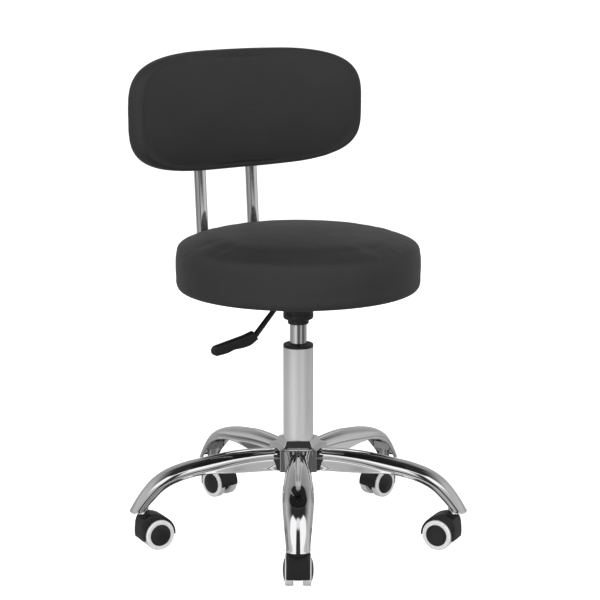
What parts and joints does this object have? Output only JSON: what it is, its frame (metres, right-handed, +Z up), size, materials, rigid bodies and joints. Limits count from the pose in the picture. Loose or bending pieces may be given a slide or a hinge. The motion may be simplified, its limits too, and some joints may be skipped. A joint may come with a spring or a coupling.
{
  "type": "rolling stylist stool",
  "caption": "Height-adjustable stylist stool with a round padded seat, a low curved backrest on two tubes, a gas lift with a release lever and a chromed star base on twin-wheel casters.",
  "frame": {"origin": "on the floor, on the column's axis", "axes": "+Z up, -Y the stool's front, +Y towards the backrest, +X the sitter's left"},
  "size_m": [0.5496, 0.5246, 0.7995],
  "materials": {
    "polished_chrome": "mirror-polished chrome plate",
    "plain_steel": "zinc-plated steel, dull",
    "satin_column": "satin silver, faint vertical brushing",
    "black_plastic": "black moulded plastic, fine satin",
    "black_wheel": "black moulded plastic, semi-gloss",
    "black_paint": "black powder coat, satin",
    "white_tyre": "soft white tread, satin",
    "leatherette": "charcoal-black vinyl leatherette over foam, fine grain, satin",
    "plywood": "black-stained plywood"
  },
  "bodies": {
    "base": {"base_hub": "polished_chrome", "base_leg_1": "polished_chrome", "base_leg_2": "polished_chrome", "base_leg_3": "polished_chrome", "base_leg_4": "polished_chrome", "base_leg_5": "polished_chrome", "stem_sleeves": "plain_steel", "caster_stems": "plain_steel", "column_tube": "satin_column", "column_bushing": "black_plastic", "thrust_bearing": "plain_steel"},
    "piston_rod": {"piston_rod": "plain_steel"},
    "seat": {"gas_cylinder": "polished_chrome", "lift_socket": "black_plastic", "seat_plate": "black_paint", "lever_pin": "plain_steel", "seat_board": "plywood", "seat_bolts": "plain_steel", "seat_cushion": "leatherette", "back_tube_left": "polished_chrome", "back_tube_right": "polished_chrome", "tube_bolts": "plain_steel", "back_plate": "black_paint", "back_screws": "plain_steel", "back_board": "plywood", "back_cushion": "leatherette"},
    "lever": {"lever_rod": "black_paint", "lever_grip": "black_plastic"},
    "button": {"release_button": "plain_steel"},
    "caster_1": {"caster_hood_1": "black_plastic", "caster_axle_1": "plain_steel"},
    "wheel_1_a": {"wheel_1_a": "black_wheel", "tyre_1_a": "white_tyre"},
    "wheel_1_b": {"wheel_1_b": "black_wheel", "tyre_1_b": "white_tyre"},
    "caster_2": {"caster_hood_2": "black_plastic", "caster_axle_2": "plain_steel"},
    "wheel_2_a": {"wheel_2_a": "black_wheel", "tyre_2_a": "white_tyre"},
    "wheel_2_b": {"wheel_2_b": "black_wheel", "tyre_2_b": "white_tyre"},
    "caster_3": {"caster_hood_3": "black_plastic", "caster_axle_3": "plain_steel"},
    "wheel_3_a": {"wheel_3_a": "black_wheel", "tyre_3_a": "white_tyre"},
    "wheel_3_b": {"wheel_3_b": "black_wheel", "tyre_3_b": "white_tyre"},
    "caster_4": {"caster_hood_4": "black_plastic", "caster_axle_4": "plain_steel"},
    "wheel_4_a": {"wheel_4_a": "black_wheel", "tyre_4_a": "white_tyre"},
    "wheel_4_b": {"wheel_4_b": "black_wheel", "tyre_4_b": "white_tyre"},
    "caster_5": {"caster_hood_5": "black_plastic", "caster_axle_5": "plain_steel"},
    "wheel_5_a": {"wheel_5_a": "black_wheel", "tyre_5_a": "white_tyre"},
    "wheel_5_b": {"wheel_5_b": "black_wheel", "tyre_5_b": "white_tyre"}
  },
  "joints": [
    {"name": "seat_swivel", "type": "hinge", "parent": "base", "child": "piston_rod", "pos_m": [0, 0, 0.12], "axis": [0, 0, 1], "continuous": true},
    {"name": "seat_height", "type": "slide", "parent": "piston_rod", "child": "seat", "axis": [0, 0, 1], "range_m": [0, 0.12]},
    {"name": "lever_lift", "type": "hinge", "parent": "seat", "child": "lever", "pos_m": [-0.025, 0, 0.404], "axis": [0, 1, 0], "range_deg": [0, 8], "stiffness_Nm_per_rad": 1.2, "springref_deg": -6.88},
    {"name": "button_press", "type": "slide", "parent": "seat", "child": "button", "axis": [0, 0, -1], "range_m": [0, 0.0037]},
    {"name": "caster_1_swivel", "type": "hinge", "parent": "base", "child": "caster_1", "pos_m": [-0.15576, -0.21439, 0.06], "axis": [0, 0, 1], "continuous": true},
    {"name": "wheel_1_a_spin", "type": "hinge", "parent": "caster_1", "child": "wheel_1_a", "pos_m": [-0.14401, -0.19821, 0.025], "axis": [0.809, -0.5878, 0], "continuous": true},
    {"name": "wheel_1_b_spin", "type": "hinge", "parent": "caster_1", "child": "wheel_1_b", "pos_m": [-0.14401, -0.19821, 0.025], "axis": [0.809, -0.5878, 0], "continuous": true},
    {"name": "caster_2_swivel", "type": "hinge", "parent": "base", "child": "caster_2", "pos_m": [0.15576, -0.21439, 0.06], "axis": [0, 0, 1], "continuous": true},
    {"name": "wheel_2_a_spin", "type": "hinge", "parent": "caster_2", "child": "wheel_2_a", "pos_m": [0.14668, -0.19657, 0.025], "axis": [0.891, 0.454, 0], "continuous": true},
    {"name": "wheel_2_b_spin", "type": "hinge", "parent": "caster_2", "child": "wheel_2_b", "pos_m": [0.14668, -0.19657, 0.025], "axis": [0.891, 0.454, 0], "continuous": true},
    {"name": "caster_3_swivel", "type": "hinge", "parent": "base", "child": "caster_3", "pos_m": [0.25203, 0.08189, 0.06], "axis": [0, 0, 1], "continuous": true},
    {"name": "wheel_3_a_spin", "type": "hinge", "parent": "caster_3", "child": "wheel_3_a", "pos_m": [0.23228, 0.07876, 0.025], "axis": [-0.1564, 0.9877, 0], "continuous": true},
    {"name": "wheel_3_b_spin", "type": "hinge", "parent": "caster_3", "child": "wheel_3_b", "pos_m": [0.23228, 0.07876, 0.025], "axis": [-0.1564, 0.9877, 0], "continuous": true},
    {"name": "caster_4_swivel", "type": "hinge", "parent": "base", "child": "caster_4", "pos_m": [0, 0.265, 0.06], "axis": [0, 0, 1], "continuous": true},
    {"name": "wheel_4_a_spin", "type": "hinge", "parent": "caster_4", "child": "wheel_4_a", "pos_m": [0.00313, 0.24525, 0.025], "axis": [-0.9877, -0.1564, 0], "continuous": true},
    {"name": "wheel_4_b_spin", "type": "hinge", "parent": "caster_4", "child": "wheel_4_b", "pos_m": [0.00313, 0.24525, 0.025], "axis": [-0.9877, -0.1564, 0], "continuous": true},
    {"name": "caster_5_swivel", "type": "hinge", "parent": "base", "child": "caster_5", "pos_m": [-0.25203, 0.08189, 0.06], "axis": [0, 0, 1], "continuous": true},
    {"name": "wheel_5_a_spin", "type": "hinge", "parent": "caster_5", "child": "wheel_5_a", "pos_m": [-0.23214, 0.0798, 0.025], "axis": [-0.1045, -0.9945, 0], "continuous": true},
    {"name": "wheel_5_b_spin", "type": "hinge", "parent": "caster_5", "child": "wheel_5_b", "pos_m": [-0.23214, 0.0798, 0.025], "axis": [-0.1045, -0.9945, 0], "continuous": true}
  ],
  "couplings": [
    {"joint": "button_press", "follows": "lever_lift", "m_per_rad": 0.0265}
  ]
}
